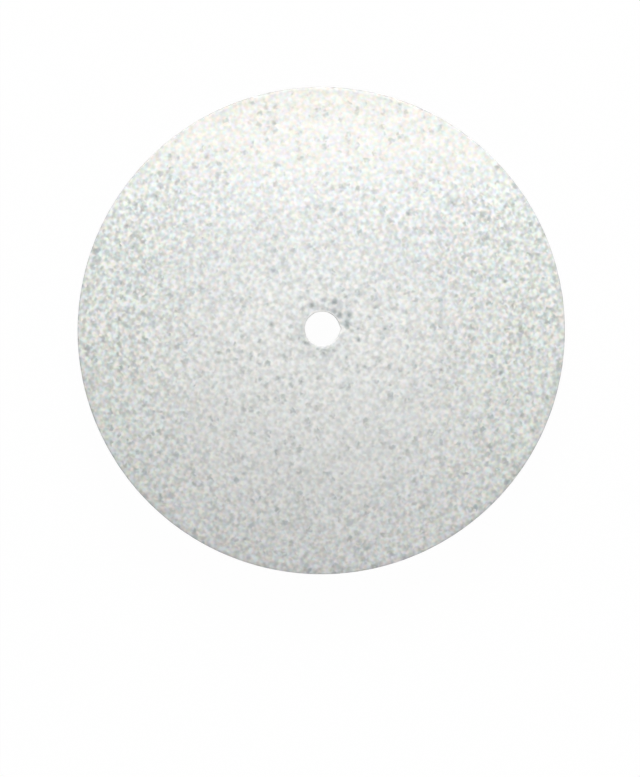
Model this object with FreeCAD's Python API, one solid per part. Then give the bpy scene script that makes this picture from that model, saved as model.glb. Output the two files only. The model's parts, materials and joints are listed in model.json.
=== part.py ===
import FreeCAD, Part
import math
import os

# Knife-edge polishing wheel, moulded in one piece from silicone rubber filled with abrasive grain.
# Two equal domed faces thin out from the middle to a rounded knife edge, and a plain bore for a
# mandrel's pin runs through the middle. Its mouths are slightly rounded where they meet the faces.
# The wheel lies flat. The origin is the middle of the bore, and +Z is the wheel's axis.

# Driving dimensions, in millimetres
wheel_diameter = 22.0
wheel_thickness = 4.2     # from crown to crown of the two domed faces, on the axis
knife_edge_radius = 0.1   # rounding of the rim, so the knife edge is twice this thick
bore_diameter = 1.6
bore_mouth_radius = 0.04  # rounding where the bore meets each face

# Sizes that follow from them
crown_height = wheel_thickness / 2
bore_radius = bore_diameter / 2
edge_centre_radius = wheel_diameter / 2 - knife_edge_radius
mouth_centre_radius = bore_radius + bore_mouth_radius


def dome_radius():
    """Radius of a domed face that has its crown on the axis and runs smoothly into the knife edge."""
    rise_above_edge = crown_height - knife_edge_radius
    chord = edge_centre_radius ** 2 + crown_height ** 2 - knife_edge_radius ** 2
    return chord / (2 * rise_above_edge)


def section_point(radius, height):
    """A point of the section, which is drawn in the XZ plane."""
    return FreeCAD.Vector(radius, 0, height)


def section_arc(centre_radius, centre_height, arc_radius, start_angle, end_angle):
    """An arc of the section about its centre, with its angles in radians from the XY plane."""
    angles = (start_angle, (start_angle + end_angle) / 2, end_angle)
    points = [
        section_point(
            centre_radius + arc_radius * math.cos(angle),
            centre_height + arc_radius * math.sin(angle),
        )
        for angle in angles
    ]
    return Part.Arc(*points).toShape()


def wheel_section():
    """The closed half section, from the bore wall over the upper face and round the knife edge.

    Each arc meets the next where both have the same normal, so the outline has no corner.
    """
    dome = dome_radius()
    dome_centre = crown_height - dome
    mouth_offset = dome - bore_mouth_radius
    mouth_angle = math.acos(mouth_centre_radius / mouth_offset)
    edge_angle = math.acos(edge_centre_radius / (dome - knife_edge_radius))
    wall_end = dome_centre + mouth_offset * math.sin(mouth_angle)
    bore_wall = Part.LineSegment(section_point(bore_radius, -wall_end), section_point(bore_radius, wall_end))
    return Part.Wire([
        bore_wall.toShape(),
        section_arc(mouth_centre_radius, wall_end, bore_mouth_radius, math.pi, mouth_angle),
        section_arc(0, dome_centre, dome, mouth_angle, edge_angle),
        section_arc(edge_centre_radius, 0, knife_edge_radius, edge_angle, -edge_angle),
        section_arc(0, -dome_centre, dome, -edge_angle, -mouth_angle),
        section_arc(mouth_centre_radius, -wall_end, bore_mouth_radius, -mouth_angle, -math.pi),
    ])


def polishing_wheel():
    """The whole wheel: its half section turned once about the axis."""
    middle = FreeCAD.Vector(0, 0, 0)
    axis = FreeCAD.Vector(0, 0, 1)
    return Part.Face(wheel_section()).revolve(middle, axis, 360)


os.makedirs("parts", exist_ok=True)
polishing_wheel().exportStep("parts/polishing_wheel.step")
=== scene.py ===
import bmesh
import bpy
import json
import math
from mathutils import Matrix, Vector, noise


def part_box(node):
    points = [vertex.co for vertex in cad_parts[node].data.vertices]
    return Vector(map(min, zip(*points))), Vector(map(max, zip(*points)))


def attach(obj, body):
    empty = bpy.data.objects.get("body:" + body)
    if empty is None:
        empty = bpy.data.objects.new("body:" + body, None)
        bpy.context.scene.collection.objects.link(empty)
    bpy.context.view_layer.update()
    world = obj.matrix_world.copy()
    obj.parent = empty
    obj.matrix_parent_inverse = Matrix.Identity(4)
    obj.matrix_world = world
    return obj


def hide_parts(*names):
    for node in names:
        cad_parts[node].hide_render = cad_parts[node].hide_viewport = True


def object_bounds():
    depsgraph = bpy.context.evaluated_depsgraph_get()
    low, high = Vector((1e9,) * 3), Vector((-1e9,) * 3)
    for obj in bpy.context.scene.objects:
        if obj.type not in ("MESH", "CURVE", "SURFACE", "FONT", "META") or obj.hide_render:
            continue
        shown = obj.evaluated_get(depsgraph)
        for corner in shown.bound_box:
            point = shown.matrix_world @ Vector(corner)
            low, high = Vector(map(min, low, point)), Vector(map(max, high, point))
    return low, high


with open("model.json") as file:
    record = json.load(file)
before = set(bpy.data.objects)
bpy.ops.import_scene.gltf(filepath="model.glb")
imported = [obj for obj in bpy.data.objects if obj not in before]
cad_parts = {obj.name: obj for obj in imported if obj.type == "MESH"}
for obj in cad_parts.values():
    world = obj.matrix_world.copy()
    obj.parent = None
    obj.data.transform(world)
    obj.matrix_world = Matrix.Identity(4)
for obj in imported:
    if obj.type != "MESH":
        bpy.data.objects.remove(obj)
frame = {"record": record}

cad_low, cad_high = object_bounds()

# The wheel is one piece of silicone rubber filled with abrasive grain, pressed to shape in a two-part mould.
# Two equal domed faces run out to a knife edge, and a plain bore takes the mandrel's pin. The skin is grainy
# and pitted, with a nick and a chip at +X. The bore's mouth, most on its +Y side, and the chip are painted
# paler: painted light over their shade.
mm = 0.001
wheel_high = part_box("polishing_wheel")[1]
bore_mount = next(mount for mount in frame["record"]["mounts"] if mount["name"] == "bore")
wheel_radius = wheel_high.x
bore_radius = bore_mount["dims"]["r_mm"] * mm
crown_height = 2.1 * mm       # of a dome above the knife edge's plane, on the axis
knife_edge_radius = 0.1 * mm
bore_mouth_radius = 0.04 * mm

edge_centre = wheel_radius - knife_edge_radius
mouth_centre = bore_radius + bore_mouth_radius
dome_radius = (
    (edge_centre**2 + crown_height**2 - knife_edge_radius**2) / (2 * (crown_height - knife_edge_radius))
)
dome_centre = crown_height - dome_radius
mouth_angle = math.acos(mouth_centre / (dome_radius - bore_mouth_radius))
edge_angle = math.acos(edge_centre / (dome_radius - knife_edge_radius))
wall_end = dome_centre + (dome_radius - bore_mouth_radius) * math.sin(mouth_angle)

# A face starts as a hexagon of even triangles. Its ring n has 6n points, and the first that is kept is the
# bore's.
first_ring = 12
last_ring = 118
mouth_steps = 6
wall_steps = 20
edge_steps = 4
nearly_zero = 1e-6            # of the hexagon, whose sides are 1
merge_distance = mm / 1000

# Where the photograph shows the wheel, and the pits and the nick that can be told apart in it.
wheel_middle_px = (321.25, 330.55)
wheel_radius_px = 243.7
wide_pits_px = (
    (334.5, 302.5), (333.5, 311.5), (348.5, 315.5), (346.5, 324.5), (311.5, 305.5), (338.5, 316.5),
)
small_pits_px = (
    (358.5, 340.5), (305.5, 342.5), (345.5, 297.5), (324.5, 300.5), (358.5, 328.5), (346.5, 357.5),
    (369.5, 317.5), (271.5, 324.5), (278.5, 378.5), (291.5, 378.5), (379.5, 360.5), (384.5, 328.5),
    (276.5, 450.5), (218.5, 353.5), (468.5, 335.5), (375.5, 307.5), (389.5, 367.5), (440.5, 300.5),
    (500.5, 373.5), (441.5, 370.5), (125.5, 226.5), (448.5, 492.5), (206.5, 157.5), (158.5, 227.5),
    (133.5, 246.5), (156.5, 197.5), (505.5, 281.5), (509.5, 245.5), (273.5, 270.5), (533.5, 430.5),
    (486.5, 238.5), (408.5, 213.5), (453.5, 202.5), (274.5, 122.5), (318.5, 349.5),
)
faint_pits_px = (
    (303.5, 309.5), (355.5, 301.5), (346.5, 306.5), (324.5, 354.5), (313.5, 355.5), (363.5, 366.5),
    (392.5, 308.5), (265.5, 343.5), (301.5, 380.5), (341.5, 383.5), (296.5, 375.5), (317.5, 378.5),
    (346.5, 388.5), (358.5, 372.5), (289.5, 339.5), (319.5, 279.5), (357.5, 294.5), (321.5, 308.5),
    (307.5, 315.5), (327.5, 350.5), (350.5, 331.5), (303.5, 337.5),
)
wide_pit_radius = 0.145 * mm
small_pit_radius = 0.09 * mm
faint_pit_share = 0.5         # of a full pit's depth and shade
pit_depth = 0.045 * mm
pit_unevenness = 0.06 * mm
pit_spacing = 0.15 * mm       # of the waves in a pit's uneven outline
pit_seed = 1                  # fixes the waves, which would otherwise be drawn anew each time
pit_reach = 2                 # in pit radii, where the pit has faded out
bore_middle_px = (322.2, 328.9)
nick_tip_px = (341.3, 329.1)
nick_half_width = 0.2 * mm
chip_reach = 0.3 * mm         # of the chip in the mouth round the nick, out from the bore; it is painted pale as painted light
chip_half_width = 0.3 * mm
chip_depth = 0.03 * mm
chip_sharpness = 2.5          # how soon the chip's painted light is full, inwards from its sides
mouth_light_reach = 0.12 * mm         # of the painted light on the mouth's edge, out from the bore
mouth_light_all_round = 0.15
mouth_light_more_above = 0.6          # added towards +Y
bore_unevenness = 0.014 * mm
bore_waves = 2.1              # size of the unit circle in the noise that makes the bore uneven
drawn_reach = 0.6 * mm        # how far from the bore the rubber is drawn aside with it

# The grainy skin: two sizes of grain, of which only the hollows are sunk.
coarse_grain_size = 0.27
fine_grain_size = 0.19
fine_grain_shift = Vector((7.3, 1.9, 4.1))
coarse_grain_share = 0.62
skin_level = 0.55             # above this the skin stays at the moulded size
least_bore_grain = 0.15
least_edge_grain = 0.1
grain_relief = 0.02 * mm
smooth_edge_width = 0.5 * mm


def from_pixel(x_px, y_px):
    """The place on the wheel, seen from above, of a pixel of the photograph."""
    scale = wheel_radius / wheel_radius_px
    return Vector(((x_px - wheel_middle_px[0]) * scale, (wheel_middle_px[1] - y_px) * scale, 0))


def hexagon_to_dome(place):
    """The place on the upper dome of a point of the flat hexagon, and the number of its ring."""
    sixth = math.tau / 6
    angle = math.atan2(place.x, place.y)
    side_middle = (math.floor(angle / sixth) + 0.5) * sixth
    across = angle - side_middle
    ring = place.length * math.cos(across) / math.cos(sixth / 2) * last_ring
    turned = side_middle + math.tan(across) / math.tan(sixth / 2) * sixth / 2
    start = dome_radius * math.cos(mouth_angle)
    end = dome_radius * math.cos(edge_angle)
    growth = math.log(end / start) / math.log(last_ring / first_ring)
    radius = start * (ring / first_ring) ** growth
    height = dome_centre + math.sqrt(dome_radius**2 - radius**2)
    return Vector((radius * math.sin(turned), radius * math.cos(turned), height)), ring


def carry_on(shell, edges, radius, height):
    """Extrudes a ring of edges to a new radius and height, and returns the new ring."""
    made = bmesh.ops.extrude_edge_only(shell, edges=edges)["geom"]
    points = {part for part in made if isinstance(part, bmesh.types.BMVert)}
    for point in points:
        turned = Vector((point.co.x, point.co.y, 0)).normalized() * radius
        point.co = turned + Vector((0, 0, height))
    return [part for part in made if isinstance(part, bmesh.types.BMEdge) and points.issuperset(part.verts)]


def put_in_order(parts, place_of):
    """Orders points, edges or faces by where they are, because extruding leaves them in no fixed order."""
    odd_direction = Vector((1, math.sqrt(2), math.sqrt(3)))
    parts.sort(key=lambda part: place_of(part).dot(odd_direction))


def half_wheel():
    """The upper half of the wheel's skin, from the bore's middle over the dome to the knife edge."""
    shell = bmesh.new()
    bmesh.ops.create_circle(shell, cap_ends=True, cap_tris=True, segments=6, radius=1)
    bmesh.ops.subdivide_edges(shell, edges=shell.edges[:], cuts=last_ring - 1, use_grid_fill=True)
    inside_bore = []
    for point in shell.verts:
        place, ring = hexagon_to_dome(point.co) if point.co.length > nearly_zero else (point.co, 0)
        if ring < first_ring - 0.5:
            inside_bore.append(point)
        else:
            point.co = place
    bmesh.ops.delete(shell, geom=inside_bore, context="VERTS")
    ends = [edge for edge in shell.edges if edge.is_boundary]
    mouth = [edge for edge in ends if edge.verts[0].co.xy.length < wheel_radius / 2]
    rim = [edge for edge in ends if edge.verts[0].co.xy.length > wheel_radius / 2]
    for step in range(1, edge_steps + 1):
        angle = edge_angle * (1 - step / edge_steps)
        height = knife_edge_radius * math.sin(angle)
        rim = carry_on(shell, rim, edge_centre + knife_edge_radius * math.cos(angle), height)
    for step in range(1, mouth_steps + 1):
        angle = mouth_angle + (math.pi - mouth_angle) * step / mouth_steps
        height = wall_end + bore_mouth_radius * math.sin(angle)
        mouth = carry_on(shell, mouth, mouth_centre + bore_mouth_radius * math.cos(angle), height)
    for step in range(1, wall_steps + 1):
        mouth = carry_on(shell, mouth, bore_radius, wall_end * (1 - step / wall_steps))
    return shell


bore_shift = from_pixel(*bore_middle_px)
nick_tip = from_pixel(*nick_tip_px) - bore_shift
nick_depth = nick_tip.length - bore_radius


def draw_aside(place):
    """Moves the bore to where it is, slightly off the middle and uneven, with its nick, and fades outwards.

    It changes the place itself.
    """
    radius = place.xy.length
    share = min(1, max(0, 1 - (radius - bore_radius) / drawn_reach))
    if share == 0:
        return
    outward = Vector((place.x, place.y, 0)).normalized()
    off_nick = outward.angle(nick_tip) * bore_radius / nick_half_width
    nick = nick_depth * max(0, 1 - off_nick)
    uneven = bore_unevenness * (noise.noise(outward * bore_waves) - 1)
    place += (bore_shift + outward * (nick + uneven)) * share * share * (3 - 2 * share)


def mouth_painted_light_share(place):
    """How much painted light lightens the mouth's edge: most along its +Y side, and fading out from the
    bore.
    """
    radius = place.xy.length
    if place.z < wall_end / 2:
        return 0
    rub = mouth_light_all_round + mouth_light_more_above * max(0, place.y / radius)
    return max(0, 1 - (radius - bore_radius) / mouth_light_reach) * rub


def chip_share(place):
    """How far a place lies inside the chip: 1 at the nick, down to 0 along the chip's two slanting sides."""
    if place.z < wall_end / 2:
        return 0
    off_nick = place.xy.angle(nick_tip.xy) * bore_radius / chip_half_width
    return max(0, 1 - off_nick - (place.xy.length - bore_radius) / chip_reach)


def grain_height(place):
    """Height of the grainy skin, which is 0 at the moulded size and falls below it in the hollows.

    The bore is smoother, because a polished pin shapes it, and so is the thin rubber at the knife edge.
    """
    spot = place / mm
    coarse = noise.noise(spot / coarse_grain_size)
    fine = noise.noise(spot / fine_grain_size + fine_grain_shift)
    rough_share = min(1, least_bore_grain + (place.xy.length - bore_radius) / (2 * bore_mouth_radius))
    edge_share = min(1, least_edge_grain + max(0, edge_centre - place.xy.length) / smooth_edge_width)
    grain = coarse_grain_share * coarse + (1 - coarse_grain_share) * fine
    return min(0, grain - skin_level) * rough_share * edge_share


shell = half_wheel()
whole = shell.verts[:] + shell.edges[:] + shell.faces[:]
bmesh.ops.mirror(shell, geom=whole, matrix=Matrix.Identity(4), merge_dist=merge_distance, axis="Z")
bmesh.ops.remove_doubles(shell, verts=shell.verts, dist=merge_distance)
put_in_order(shell.verts, lambda point: point.co)
put_in_order(shell.edges, lambda edge: edge.verts[0].co + edge.verts[1].co)
put_in_order(shell.faces, lambda face: face.calc_center_median())
bmesh.ops.recalc_face_normals(shell, faces=shell.faces)
shell.normal_update()
pitting = shell.verts.layers.float.new("pitting")
paleness = shell.verts.layers.float.new("paleness")
pits = [(from_pixel(*pit).xy, wide_pit_radius, 1) for pit in wide_pits_px]
pits += [(from_pixel(*pit).xy, small_pit_radius, 1) for pit in small_pits_px]
pits += [(from_pixel(*pit).xy, small_pit_radius, faint_pit_share) for pit in faint_pits_px]
noise.seed_set(pit_seed)
for point in shell.verts:
    inward = -point.normal.copy()
    sunk = -grain_relief * grain_height(point.co)
    chipped = chip_share(point.co)
    # The mouth and the chip are painted paler, as painted light over their shade.
    point[paleness] = max(min(1, chip_sharpness * chipped), mouth_painted_light_share(point.co))
    draw_aside(point.co)
    if point.co.z > 0:
        uneven_place = point.co + pit_unevenness * noise.noise_vector(point.co / pit_spacing)
        for pit_middle, pit_radius, pit_share in pits:
            off_pit = (uneven_place.xy - pit_middle).length / pit_radius
            if off_pit < pit_reach:
                point[pitting] = max(point[pitting], pit_share * math.exp(-off_pit**2))
    sunk += pit_depth * point[pitting]
    point.co += inward * sunk
    point.co.z -= chip_depth * chipped
for face in shell.faces:
    face.smooth = True
wheel_mesh = bpy.data.meshes.new("silicone_wheel")
shell.to_mesh(wheel_mesh)
shell.free()
wheel = bpy.data.objects.new("silicone_wheel", wheel_mesh)
bpy.context.scene.collection.objects.link(wheel)

rubber = bpy.data.materials.new("bonded_abrasive")
rubber.use_nodes = True
rubber_nodes = rubber.node_tree.nodes
rubber_links = rubber.node_tree.links


def rubber_node(kind, name, inputs=(), **settings):
    """Adds a node to the rubber's material; inputs pairs a socket with its value or with an output."""
    node = rubber_nodes.new(kind)
    node.label = name
    for setting, value in settings.items():
        setattr(node, setting, value)
    for socket, value in dict(inputs).items():
        if isinstance(value, bpy.types.NodeSocket):
            rubber_links.new(value, node.inputs[socket])
        else:
            node.inputs[socket].default_value = value
    return node


def rubber_mix(name, share, under, over, blend="MIX"):
    """A colour mix in the rubber's material."""
    inputs = {0: share, 6: under, 7: over}
    node = rubber_node("ShaderNodeMix", name, inputs, data_type="RGBA", blend_type=blend)
    return node.outputs[2]


def rubber_range(name, value, span, shares=(0.0, 1.0)):
    """A value eased from a span, such as one of distances in mm, into shares."""
    inputs = {0: value, 1: span[0], 2: span[1], 3: shares[0], 4: shares[1]}
    node = rubber_node("ShaderNodeMapRange", name, inputs, interpolation_type="SMOOTHSTEP")
    return node.outputs[0]


def rubber_math(name, operation, one, other=0.0):
    """One sum, product or the like of two values."""
    return rubber_node("ShaderNodeMath", name, {0: one, 1: other}, operation=operation).outputs[0]


def rubber_place(name, stretch):
    """Places on the rubber in mm, with each axis stretched by its share, or flattened where that is 0."""
    inputs = {"Vector": rubber_places, "Scale": [share / mm for share in stretch]}
    return rubber_node("ShaderNodeMapping", name, inputs).outputs[0]


def rubber_distance(name, places, middle=(0, 0, 0)):
    """The distance of places from a middle."""
    inputs = {0: places, 1: middle}
    return rubber_node("ShaderNodeVectorMath", name, inputs, operation="DISTANCE").outputs["Value"]


# The colours of the rubber, in linear light. The tints and shades multiply what is under them.
matrix_mean = (0.7745, 0.7895, 0.782, 1)
matrix_light = (0.949, 0.965, 0.954, 1)
matrix_dark = (0.5945, 0.614, 0.6095, 1)
grain_dark = (0.405, 0.443, 0.446, 1)
grain_light = (0.95, 0.965, 0.94, 1)
# Painted shade in the pits.
pit_painted_shade = (0.55, 0.585, 0.6, 1)
# Painted shade round the bore.
bore_painted_shade = (0.93, 0.935, 0.945, 1)
# Painted light for the bore's mouth and its chip.
painted_light_pale = (0.99, 0.99, 0.96, 1)
# Painted shade, growing outwards from the middle.
outer_painted_shade = (0.953, 0.953, 0.953, 1)
# Wear and painted shade on the knife edge.
knife_wear_and_painted_shade = (0.88, 0.88, 0.88, 1)
# Wear and painted shade on the very knife edge.
knife_line_wear_and_shade = (0.82, 0.81, 0.83, 1)
warm_tint = (1.044, 1.0, 0.926, 1)
cool_tint = (0.956, 1.0, 1.074, 1)
pink_tint = (1.051, 0.98, 1.024, 1)
green_tint = (0.949, 1.02, 0.976, 1)
flank_tint = (0.9925, 1.006, 0.9925, 1)
cool_band_tint = (0.975, 0.981, 0.987, 1)
# Painted light towards +Y.
painted_light_tint = (1.056, 1.056, 1.056, 1)
# Painted warm light at +Y.
painted_warm_light_tint = (1.0185, 1.0, 0.981, 1)
# Painted shade at the +Y edge.
top_edge_painted_shade_tint = (0.925, 0.92, 0.907, 1)

rubber_places = rubber_node("ShaderNodeTexCoord", "place").outputs["Object"]
radius_mm = round(wheel_radius / mm, 2)
plainest_mm = (-0.5, -3.0, 0)      # where the grain is least tinted
in_mm = rubber_place("in mm", (1, 1, 1))
flat_mm = rubber_place("flat, in mm", (1, 1, 0))
squeezed_mm = rubber_place("squeezed along Y", (1, 0.85, 0))
across = rubber_node("ShaderNodeSeparateXYZ", "across the face", {0: in_mm}).outputs
off_axis = rubber_distance("distance from the axis", flat_mm)
off_middle = rubber_distance("distance, more sideways", squeezed_mm)
off_plainest = rubber_distance("distance from the plainest grain", flat_mm, plainest_mm)
off_side = rubber_math("distance sideways", "ABSOLUTE", across["X"])
noise_turn = (0.6, 0.5, 0.9)       # in radians, so that the noise's rows follow no edge of the wheel


def rubber_noise(name, scale, detail, shift=0.0):
    """A noise through the rubber, with scale cells to a millimetre."""
    turn = (noise_turn[0] + shift, noise_turn[1], noise_turn[2])
    turned = {"Vector": in_mm, "Location": (shift, shift, shift), "Rotation": turn}
    shifted = rubber_node("ShaderNodeMapping", name + "'s place", turned)
    inputs = {"Vector": shifted.outputs[0], "Scale": scale, "Detail": detail}
    return rubber_node("ShaderNodeTexNoise", name, inputs).outputs


# The matrix is mottled at two sizes, more towards the flanks and less at +Y and below the middle.
coarse_mottle = rubber_noise("coarse mottling", scale=4.0, detail=0.3)["Fac"]
fine_mottle = rubber_noise("fine mottling", scale=6.0, detail=0.3, shift=7.9)["Fac"]
mottle = rubber_math("mottling", "ADD", coarse_mottle, fine_mottle)
mottle_limits = (0.64, 1.36)
mottle_share = rubber_node(
    "ShaderNodeMapRange", "mottle share", {0: mottle, 1: mottle_limits[0], 2: mottle_limits[1]}
).outputs[0]
mottle_out = rubber_range("mottling outwards", off_middle, span=(4.5, 9.5), shares=(0.66, 0.97))
mottle_above = rubber_range("mottling at +Y", across["Y"], span=(5.0, 8.5), shares=(1.0, 0.37))
mottle_below = rubber_range("mottling at -Y", across["Y"], span=(0.0, -4.0), shares=(1.0, 0.82))
mottle_along = rubber_math("mottling along Y", "MULTIPLY", mottle_above, mottle_below)
mottle_show = rubber_math("how much mottling shows", "MULTIPLY", mottle_out, mottle_along)
colour = rubber_mix("mottled", mottle_share, matrix_dark, matrix_light)
colour = rubber_mix("mottled more or less", mottle_show, matrix_mean, colour)

# Dark grains of uneven shape lie in some of the cells, and light spots between them.
tints = rubber_noise("tints", scale=5.5, detail=0.3, shift=3.3)["Color"]
tint_draws = rubber_node("ShaderNodeSeparateColor", "tint's draws", {0: tints}).outputs
grain_cells = 2.7                  # to a millimetre
unevenness_mm = (0.3, 0.3, 0.3)    # of a grain's outline
uneven_inputs = {0: tints, 1: unevenness_mm, 2: in_mm}
uneven_mm = rubber_node("ShaderNodeVectorMath", "unevenly placed", uneven_inputs, operation="MULTIPLY_ADD")
cell_inputs = {"Vector": uneven_mm.outputs["Vector"], "Scale": grain_cells}
dark_grains = rubber_node("ShaderNodeTexVoronoi", "dark grains", cell_inputs).outputs
grain_draws = rubber_node("ShaderNodeSeparateColor", "grain's draws", {0: dark_grains["Color"]}).outputs
round_grain = rubber_range("round grain", dark_grains["Distance"], span=(0.55, 0.08))
drawn_dark = rubber_range("cells with a grain", grain_draws[0], span=(0.3, 0.95), shares=(0.0, 0.62))
grains_sideways = rubber_range("grains at the flanks", off_side, span=(5.0, 9.0), shares=(1.0, 1.22))
dark_grain_show = rubber_math("how much dark grains show", "MULTIPLY", drawn_dark, grains_sideways)
dark_share = rubber_math("dark share", "MULTIPLY", round_grain, dark_grain_show)
colour = rubber_mix("with dark grain", dark_share, colour, grain_dark)
light_grain = rubber_noise("light grain", scale=5.3, detail=0.2, shift=23.9)["Fac"]
light_spots = rubber_range("light spots", light_grain, span=(0.54, 0.84))
light_share = rubber_math("light share", "MULTIPLY", light_spots, mottle_show)
colour = rubber_mix("with light grain", light_share, colour, grain_light)

# Each small patch is warm or cool and pink or green, least a little below the middle of the face.
warm_or_cool = rubber_range("warm or cool", tint_draws[0], span=(0.2, 0.8))
pink_or_green = rubber_range("pink or green", tint_draws[1], span=(0.2, 0.8))
first_tint = rubber_mix("warm or cool tint", warm_or_cool, cool_tint, warm_tint)
second_tint = rubber_mix("pink or green tint", pink_or_green, green_tint, pink_tint)
tint_show = rubber_range("how much tints show", off_plainest, span=(2.5, 10.5), shares=(0.42, 0.95))
colour = rubber_mix("tinted warm or cool", tint_show, colour, first_tint, "MULTIPLY")
colour = rubber_mix("tinted pink or green", tint_show, colour, second_tint, "MULTIPLY")

# The colour is greener at the flanks and cooler towards +Y. Painted light brightens it towards +Y, painted
# warm light yellows it at +Y, and painted shade dulls that edge.
flank = rubber_range("towards the flanks", off_side, span=(5.0, 9.5))
colour = rubber_mix("greener flanks", flank, colour, flank_tint, "MULTIPLY")
cool_band = rubber_range("cooler towards +Y", across["Y"], span=(0.0, 3.2))
colour = rubber_mix("with the cooler part", cool_band, colour, cool_band_tint, "MULTIPLY")
painted_light_share = rubber_range("painted light towards +Y", across["Y"], span=(3.8, 8.0))
# Painted light on the +Y side.
colour = rubber_mix("with painted light at +Y", painted_light_share, colour, painted_light_tint, "MULTIPLY")
painted_warm_light = rubber_range("painted warm light at +Y", across["Y"], span=(6.0, 8.8))
# Painted warm light on the +Y side.
colour = rubber_mix("with the painted warm light", painted_warm_light, colour, painted_warm_light_tint, "MULTIPLY")
top_edge_painted_shade = rubber_range("painted shade at the +Y edge", across["Y"], span=(8.4, 10.8))
# Painted shade at the +Y edge.
colour = rubber_mix("with painted shade at the +Y edge", top_edge_painted_shade, colour, top_edge_painted_shade_tint, "MULTIPLY")

# Painted shade in the pits, round the bore and outwards, painted light on the bore's mouth and its chip,
# and the knife edge's wear and painted shade come over all that.
pitted = rubber_node("ShaderNodeAttribute", "pits", attribute_name="pitting").outputs["Fac"]
# Painted shade in the pits' hollows.
colour = rubber_mix("with painted shade in the pits", pitted, colour, pit_painted_shade, "MULTIPLY")
near_bore = rubber_range("near the bore", off_axis, span=(1.75, 0.9))
# Painted shade round the bore.
colour = rubber_mix("painted shade round the bore", near_bore, colour, bore_painted_shade, "MULTIPLY")
mouth_painted_light = rubber_node("ShaderNodeAttribute", "pale mouth", attribute_name="paleness").outputs["Fac"]
# Painted light on the mouth and the chip.
colour = rubber_mix("with painted light on the mouth and chip", mouth_painted_light, colour, painted_light_pale)
outwards = rubber_range("outwards", off_axis, span=(1.0, 9.5))
# Painted shade outwards.
colour = rubber_mix("painted shade outwards", outwards, colour, outer_painted_shade, "MULTIPLY")
edge_wear = rubber_noise("edge wear", scale=2.4, detail=0.5, shift=31.3)["Fac"]
on_edge = rubber_range("beside the knife edge", off_axis, span=(radius_mm - 0.5, radius_mm - 0.02))
edge_patches = rubber_range("wear beside the edge", edge_wear, span=(0.2, 0.6))
worn_and_shaded_edge = rubber_math("worn and shaded edge", "MULTIPLY", on_edge, edge_patches)
# The knife edge is darkened in patches: partly wear, partly painted shade where it faces the lamp.
colour = rubber_mix("knife edge's wear and painted shade", worn_and_shaded_edge, colour, knife_wear_and_painted_shade, "MULTIPLY")
very_edge = rubber_range("very edge", off_axis, span=(radius_mm - 0.07, radius_mm - 0.01))
line_patches = rubber_range("line's wear", edge_wear, span=(0.3, 0.6), shares=(0.6, 1.0))
edge_line_wear_and_shade = rubber_math("line on the edge", "MULTIPLY", very_edge, line_patches)
# The very edge is darkened: partly wear, partly painted shade of its rounded nose.
colour = rubber_mix("dark line of wear and painted shade on the knife edge", edge_line_wear_and_shade, colour, knife_line_wear_and_shade, "MULTIPLY")

# The finest skin is a bump, which fades towards the knife edge, and it is a little uneven in its gloss.
skin = rubber_noise("fine skin", scale=6.5, detail=1.0, shift=5.1)["Fac"]
skin_span = (radius_mm - 0.5, radius_mm - 0.05)
skin_share = rubber_range("smoother edge", off_axis, span=skin_span, shares=(1.0, 0.3))
skin_height = rubber_math("fine skin's height", "MULTIPLY", skin, skin_share)
skin_relief = {"Height": skin_height, "Strength": 0.35, "Distance": 0.03 * mm}
skin_bump = rubber_node("ShaderNodeBump", "fine skin's relief", skin_relief)
roughness = rubber_range("uneven roughness", skin, span=(0.3, 0.7), shares=(0.42, 0.56))
finish = rubber_nodes["Principled BSDF"]
finish.inputs["IOR"].default_value = 1.42
finish.inputs["Subsurface Weight"].default_value = 0.85
finish.inputs["Subsurface Radius"].default_value = (1.0, 1.0, 1.0)
finish.inputs["Subsurface Scale"].default_value = 0.4 * mm
rubber_links.new(colour, finish.inputs["Base Color"])
rubber_links.new(roughness, finish.inputs["Roughness"])
rubber_links.new(skin_bump.outputs[0], finish.inputs["Normal"])
wheel_mesh.materials.append(rubber)

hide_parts("polishing_wheel")
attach(wheel, "root")

# The wheel lies flat on a plain pale floor. The camera and reflections see the floor as white, with a little
# of its own shading so that the wheel's shadow stays on it, and for every other ray it is plain matt paint.
floor_radius = 2.0
floor_sides = 96
floor_white_share = 0.985
floor_colour = (0.82, 0.82, 0.82, 1)
floor_shape = bmesh.new()
bmesh.ops.create_circle(floor_shape, cap_ends=True, segments=floor_sides, radius=floor_radius)
bmesh.ops.translate(floor_shape, verts=floor_shape.verts, vec=(0, 0, cad_low.z))
floor_mesh = bpy.data.meshes.new("floor")
floor_shape.to_mesh(floor_mesh)
floor_shape.free()
floor = bpy.data.objects.new("floor", floor_mesh)
bpy.context.scene.collection.objects.link(floor)


def seen_directly(tree):
    """Adds an output that is 1 for camera, glossy and transmission rays, and 0 for the rest."""
    rays = tree.nodes.new("ShaderNodeLightPath").outputs
    total = rays["Is Camera Ray"]
    for other in ("Is Glossy Ray", "Is Transmission Ray"):
        add = tree.nodes.new("ShaderNodeMath")
        add.operation = "ADD"
        add.use_clamp = True
        tree.links.new(total, add.inputs[0])
        tree.links.new(rays[other], add.inputs[1])
        total = add.outputs[0]
    return total


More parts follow.
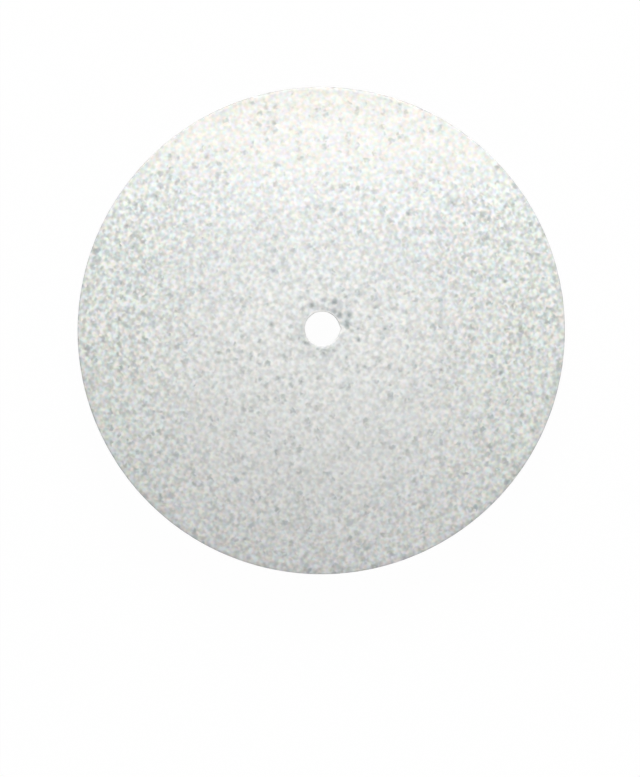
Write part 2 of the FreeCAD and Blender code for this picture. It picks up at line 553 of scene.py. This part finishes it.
paint = bpy.data.materials.new("floor_paint")
paint.use_nodes = True
paint_tree = paint.node_tree
paint_tree.nodes.clear()
matt = paint_tree.nodes.new("ShaderNodeBsdfDiffuse")
matt.inputs["Color"].default_value = floor_colour
white_glow = paint_tree.nodes.new("ShaderNodeEmission")
white_share = paint_tree.nodes.new("ShaderNodeMath")
white_share.operation = "MULTIPLY"
white_share.inputs[1].default_value = floor_white_share
paint_mix = paint_tree.nodes.new("ShaderNodeMixShader")
paint_output = paint_tree.nodes.new("ShaderNodeOutputMaterial")
paint_tree.links.new(seen_directly(paint_tree), white_share.inputs[0])
paint_tree.links.new(white_share.outputs[0], paint_mix.inputs[0])
paint_tree.links.new(matt.outputs[0], paint_mix.inputs[1])
paint_tree.links.new(white_glow.outputs[0], paint_mix.inputs[2])
paint_tree.links.new(paint_mix.outputs[0], paint_output.inputs["Surface"])
floor_mesh.materials.append(paint)

# The light is plain and soft: an even white surround, a large soft lamp low above the top of the picture,
# and a weaker one high over the wheel, a little below the picture's middle. The surround is seen as white.
surround_strength = 0.34
lamp_distance = 0.35
lamp_size = 0.22
white = (1.0, 1.0, 1.0)
warm_white = (1.0, 0.982, 0.96)
world = bpy.data.worlds.new("surround")
world.use_nodes = True
bpy.context.scene.world = world
world_tree = world.node_tree
world_tree.nodes.clear()
even_light = world_tree.nodes.new("ShaderNodeBackground")
even_light.inputs["Strength"].default_value = surround_strength
seen_white = world_tree.nodes.new("ShaderNodeBackground")
world_mix = world_tree.nodes.new("ShaderNodeMixShader")
world_output = world_tree.nodes.new("ShaderNodeOutputWorld")
for background in (even_light, seen_white):
    background.inputs["Color"].default_value = (*white, 1.0)
world_tree.links.new(seen_directly(world_tree), world_mix.inputs[0])
world_tree.links.new(even_light.outputs[0], world_mix.inputs[1])
world_tree.links.new(seen_white.outputs[0], world_mix.inputs[2])
world_tree.links.new(world_mix.outputs[0], world_output.inputs["Surface"])


def soft_lamp(name, height_deg, heading_deg, power, colour):
    """A round soft lamp that faces the wheel; its heading is clockwise from +Y, seen from above."""
    light = bpy.data.lights.new(name, "AREA")
    light.shape = "DISK"
    light.size = lamp_size
    light.energy = power
    light.color = colour
    lamp = bpy.data.objects.new(name, light)
    height, heading = math.radians(height_deg), math.radians(heading_deg)
    level = math.cos(height)
    towards = Vector((level * math.sin(heading), level * math.cos(heading), math.sin(height)))
    lamp.location = towards * lamp_distance
    lamp.rotation_euler = towards.to_track_quat("Z", "Y").to_euler()
    lamp.visible_camera = False
    bpy.context.scene.collection.objects.link(lamp)


soft_lamp("low_lamp", height_deg=36, heading_deg=2, power=1.16, colour=warm_white)
soft_lamp("high_lamp", height_deg=60, heading_deg=160, power=0.21, colour=white)

# The camera looks straight down the wheel's bore from far away, as the photograph does, where the bore's
# wall is seen on no side. The shift moves the picture so that the wheel lies where the photograph has it.
photo_width_px = 640
photo_height_px = 777
sensor_size = 36
lens_length = 900
clip_times = 10               # how much nearer and farther than the wheel the camera still sees
camera_data = bpy.data.cameras.new("camera")
camera_data.sensor_width = sensor_size
camera_data.lens = lens_length
photo_height = photo_height_px * wheel_radius / wheel_radius_px
camera_distance = photo_height * lens_length / sensor_size
camera = bpy.data.objects.new("camera", camera_data)
picture_middle = from_pixel(photo_width_px / 2, photo_height_px / 2)
camera.location = Vector((0, 0, camera_distance))
camera_data.shift_x = picture_middle.x / photo_height
camera_data.shift_y = picture_middle.y / photo_height
camera_data.clip_start = camera_distance / clip_times
camera_data.clip_end = camera_distance * clip_times
bpy.context.scene.collection.objects.link(camera)
bpy.context.scene.camera = camera
bpy.context.scene.view_settings.view_transform = "Standard"
